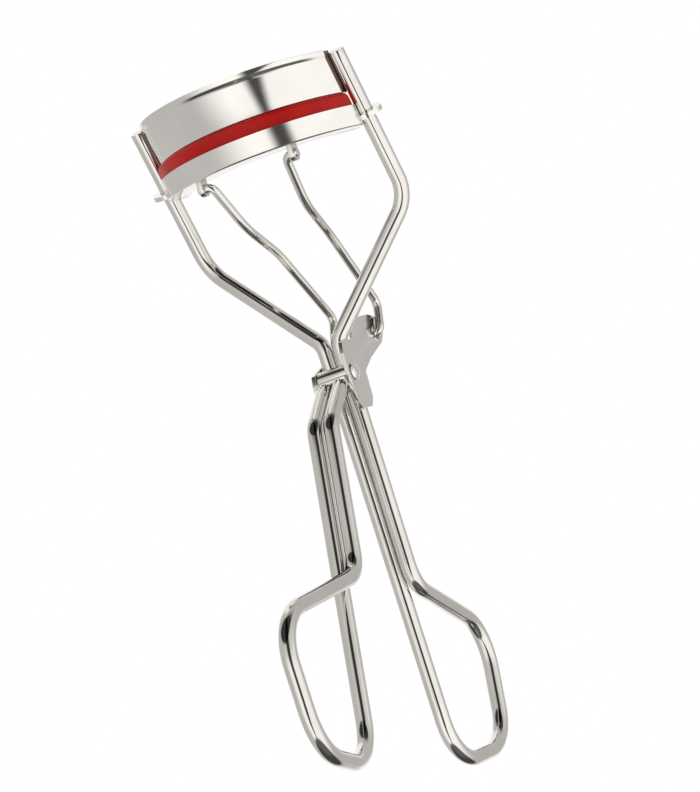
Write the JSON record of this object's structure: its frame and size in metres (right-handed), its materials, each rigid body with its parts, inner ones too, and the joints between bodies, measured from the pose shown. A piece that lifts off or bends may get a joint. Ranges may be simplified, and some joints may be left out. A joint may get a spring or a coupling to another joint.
{
  "type": "eyelash curler",
  "caption": "Scissor-action eyelash curler with a bent wire cage, a curved fixed band, a sliding jaw with a soft pad, push rods and two finger loops.",
  "frame": {"origin": "middle of the base of the whole object's box, under the handles", "axes": "+X to the user's right along the jaws, +Y from the band's convex face back to the back handle, +Z from the finger loops up to the jaws"},
  "size_m": [0.038, 0.0644, 0.1022],
  "materials": {
    "bright_wire": "polished nickel-chrome wire",
    "rod_wire": "polished thin wire",
    "polished_band": "polished sheet",
    "lever_plate": "lightly brushed plate",
    "pivot_steel": "turned steel",
    "red_pad": "satin silicone"
  },
  "bodies": {
    "frame": {"cage_wire_left": "bright_wire", "cage_wire_right": "bright_wire", "back_handle": "bright_wire", "upper_band": "polished_band", "pivot_block": "pivot_steel", "pivot_rivet": "pivot_steel"},
    "lever": {"front_handle": "bright_wire", "lever_plate_left": "lever_plate", "lever_plate_right": "lever_plate", "lever_bridge": "lever_plate"},
    "moving_jaw": {"lower_jaw": "polished_band", "jaw_pad": "red_pad", "rod_tab_left": "pivot_steel", "rod_tab_right": "pivot_steel"},
    "left_rod": {"push_rod_left": "rod_wire"},
    "right_rod": {"push_rod_right": "rod_wire"}
  },
  "joints": [
    {"name": "lever_pivot", "type": "hinge", "parent": "frame", "child": "lever", "pos_m": [0, 0.00985, 0.05885], "axis": [-1, 0, 0], "range_deg": [0, 33]},
    {"name": "jaw_slide", "type": "slide", "parent": "frame", "child": "moving_jaw", "axis": [0, 0.3616, -0.9323], "range_m": [0, 0.0068]},
    {"name": "left_rod_pivot", "type": "hinge", "parent": "moving_jaw", "child": "left_rod", "pos_m": [-0.00735, 0.00335, 0.08975], "axis": [-1, 0, 0], "range_deg": [0, 3]},
    {"name": "right_rod_pivot", "type": "hinge", "parent": "moving_jaw", "child": "right_rod", "pos_m": [0.00735, 0.00335, 0.08975], "axis": [-1, 0, 0], "range_deg": [0, 3]}
  ],
  "couplings": [
    {"joint": "jaw_slide", "follows": "lever_pivot", "m_per_rad": 0.01164},
    {"joint": "left_rod_pivot", "follows": "lever_pivot", "ratio": 0.086},
    {"joint": "right_rod_pivot", "follows": "lever_pivot", "ratio": 0.086}
  ]
}
